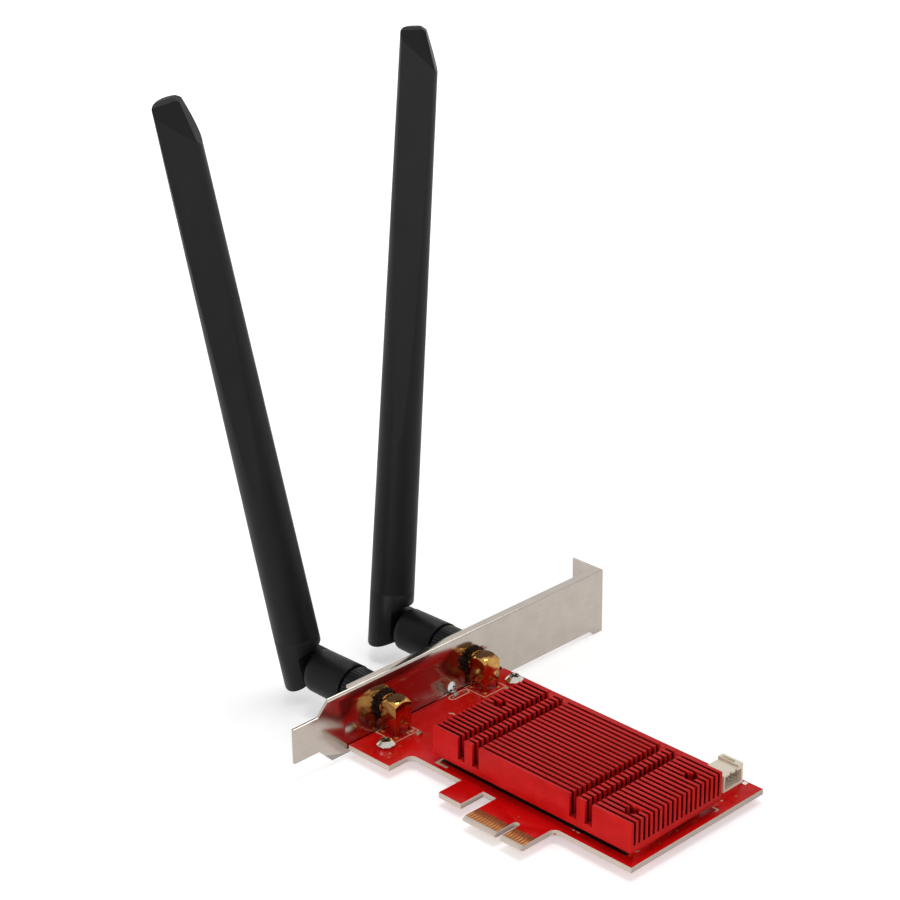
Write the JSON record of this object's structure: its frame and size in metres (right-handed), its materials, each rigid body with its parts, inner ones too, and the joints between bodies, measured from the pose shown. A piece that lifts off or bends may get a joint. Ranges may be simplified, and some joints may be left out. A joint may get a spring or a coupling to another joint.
{
  "type": "wifi card",
  "caption": "Red one-lane expansion card for wireless networking, with a slotted fin heatsink, steel bracket, gold jacks and black blade aerials that tilt and swivel.",
  "frame": {"origin": "middle of the keying slot on the contact edge, half-way through the board's thickness", "axes": "+X along the board away from the bracket, +Y from the contacts towards the bracket's bent tab, +Z out of the component side, the way the blades stand"},
  "size_m": [0.1331, 0.1262, 0.1809],
  "materials": {
    "board_mask": "red solder mask over glass-fibre board, satin gloss",
    "contact_gold": "thin gold plating",
    "bracket_steel": "bright nickel plating, fine drawn grain",
    "screw_steel": "nickel plated",
    "heatsink_red": "red anodised extrusion with sawn fin tops",
    "spacer_metal": "turned brass",
    "module_mask": "green solder mask",
    "shield_tin": "tinned sheet",
    "pad_silicone": "soft grey silicone",
    "capacitor_ceramic": "tan ceramic with tinned ends",
    "lamp_plastic": "clear lens on white base",
    "socket_plastic": "cream moulded nylon",
    "pin_tin": "tinned wire",
    "jack_gold": "gold plated brass",
    "insulator_white": "white fluoropolymer",
    "washer_dark": "blackened spring steel",
    "nut_black": "black moulding over a brass insert, straight knurl",
    "aerial_black": "satin black moulding with a fine texture",
    "pin_black": "blackened steel",
    "radiator_board": "thin printed board"
  },
  "bodies": {
    "card": {"circuit_board": "board_mask", "edge_contacts_top": "contact_gold", "edge_contacts_under": "contact_gold", "bracket": "bracket_steel", "bracket_screws": "screw_steel", "heatsink": "heatsink_red", "heatsink_spacers": "spacer_metal", "heatsink_screws": "screw_steel", "radio_module_board": "module_mask", "radio_module_shield": "shield_tin", "thermal_pad": "pad_silicone", "board_capacitors": "capacitor_ceramic", "status_lamp": "lamp_plastic", "lead_socket_housing": "socket_plastic", "lead_socket_pins": "pin_tin", "left_jack_body": "jack_gold", "left_jack_insulator": "insulator_white", "left_jack_contact": "contact_gold", "left_jack_washer": "washer_dark", "left_jack_nut": "jack_gold", "right_jack_body": "jack_gold", "right_jack_insulator": "insulator_white", "right_jack_contact": "contact_gold", "right_jack_washer": "washer_dark", "right_jack_nut": "jack_gold"},
    "left_nut": {"left_coupling_nut": "nut_black"},
    "left_elbow": {"left_plug_shell": "jack_gold", "left_plug_insulator": "insulator_white", "left_plug_contact": "contact_gold", "left_elbow": "aerial_black", "left_hinge_pin": "pin_black"},
    "left_blade": {"left_knuckle": "aerial_black", "left_sleeve": "aerial_black", "left_radiator": "radiator_board"},
    "right_nut": {"right_coupling_nut": "nut_black"},
    "right_elbow": {"right_plug_shell": "jack_gold", "right_plug_insulator": "insulator_white", "right_plug_contact": "contact_gold", "right_elbow": "aerial_black", "right_hinge_pin": "pin_black"},
    "right_blade": {"right_knuckle": "aerial_black", "right_sleeve": "aerial_black", "right_radiator": "radiator_board"}
  },
  "joints": [
    {"name": "left_nut_turn", "type": "hinge", "parent": "card", "child": "left_nut", "pos_m": [-0.0674, 0.01808, 0.00775], "axis": [1, 0, 0], "continuous": true},
    {"name": "left_aerial_swivel", "type": "hinge", "parent": "card", "child": "left_elbow", "pos_m": [-0.093, 0.01808, 0.00775], "axis": [1, 0, 0], "range_deg": [-11.73, 168.27]},
    {"name": "left_aerial_tilt", "type": "hinge", "parent": "left_elbow", "child": "left_blade", "pos_m": [-0.093, 0.01808, 0.00775], "axis": [0, -0.9791, -0.2033], "range_deg": [0, 90]},
    {"name": "right_nut_turn", "type": "hinge", "parent": "card", "child": "right_nut", "pos_m": [-0.0674, 0.05193, 0.00775], "axis": [1, 0, 0], "continuous": true},
    {"name": "right_aerial_swivel", "type": "hinge", "parent": "card", "child": "right_elbow", "pos_m": [-0.093, 0.05193, 0.00775], "axis": [-1, 0, 0], "range_deg": [-5.14, 174.86]},
    {"name": "right_aerial_tilt", "type": "hinge", "parent": "right_elbow", "child": "right_blade", "pos_m": [-0.093, 0.05193, 0.00775], "axis": [0, -0.996, 0.0896], "range_deg": [0, 90]}
  ]
}
